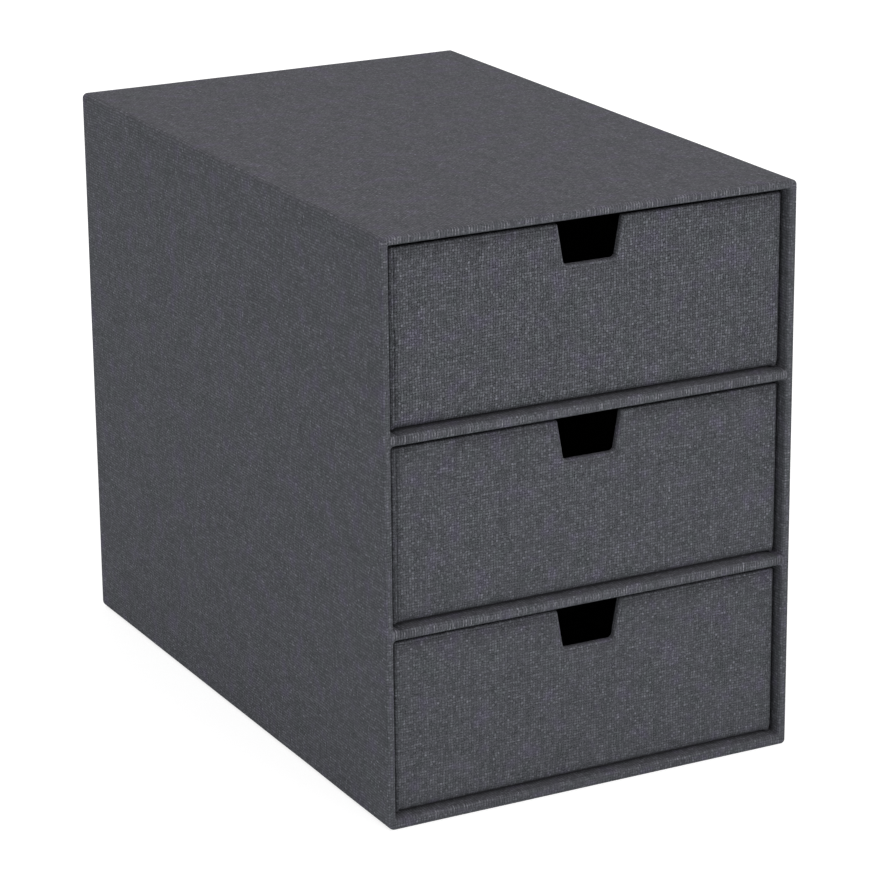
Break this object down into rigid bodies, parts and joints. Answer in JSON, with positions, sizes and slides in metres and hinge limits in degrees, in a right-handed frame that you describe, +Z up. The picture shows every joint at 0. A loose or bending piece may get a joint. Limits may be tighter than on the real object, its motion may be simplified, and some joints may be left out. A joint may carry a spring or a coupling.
{
  "type": "drawer storage box",
  "caption": "Cloth-covered board box for a desk, with drawers one above the other that slide out to the front, each with a finger notch in its front edge.",
  "frame": {"origin": "middle of the underside, on the surface that the box stands on", "axes": "+X to the right seen from the front, +Y to the back, +Z up"},
  "size_m": [0.19, 0.298, 0.2473],
  "materials": {
    "cloth": "dark grey plain-woven book cloth with slubs and light flecks, matt",
    "board": "grey-brown rigid board, uncoated",
    "lining": "dark grey lining paper with a fine fibre grain, matt",
    "paper": "charcoal paper with a faint laid grain, matt"
  },
  "bodies": {
    "case": {"case_top_board": "board", "case_bottom_board": "board", "case_left_board": "board", "case_right_board": "board", "case_back_board": "board", "case_cover_cloth": "cloth", "back_cover_cloth": "cloth", "base_sheet": "paper", "case_lining": "lining", "back_lining": "lining", "lower_shelf_board": "board", "lower_shelf_cloth": "cloth", "upper_shelf_board": "board", "upper_shelf_cloth": "cloth"},
    "lower_drawer": {"lower_drawer_front_board": "board", "lower_drawer_back_board": "board", "lower_drawer_left_board": "board", "lower_drawer_right_board": "board", "lower_drawer_base_board": "board", "lower_drawer_cover_cloth": "cloth", "lower_drawer_lining": "lining", "lower_drawer_base_paper": "paper"},
    "middle_drawer": {"middle_drawer_front_board": "board", "middle_drawer_back_board": "board", "middle_drawer_left_board": "board", "middle_drawer_right_board": "board", "middle_drawer_base_board": "board", "middle_drawer_cover_cloth": "cloth", "middle_drawer_lining": "lining", "middle_drawer_base_paper": "paper"},
    "upper_drawer": {"upper_drawer_front_board": "board", "upper_drawer_back_board": "board", "upper_drawer_left_board": "board", "upper_drawer_right_board": "board", "upper_drawer_base_board": "board", "upper_drawer_cover_cloth": "cloth", "upper_drawer_lining": "lining", "upper_drawer_base_paper": "paper"}
  },
  "joints": [
    {"name": "lower_drawer_slide", "type": "slide", "parent": "case", "child": "lower_drawer", "axis": [0, -1, 0], "range_m": [0, 0.24]},
    {"name": "middle_drawer_slide", "type": "slide", "parent": "case", "child": "middle_drawer", "axis": [0, -1, 0], "range_m": [0, 0.24]},
    {"name": "upper_drawer_slide", "type": "slide", "parent": "case", "child": "upper_drawer", "axis": [0, -1, 0], "range_m": [0, 0.24]}
  ]
}
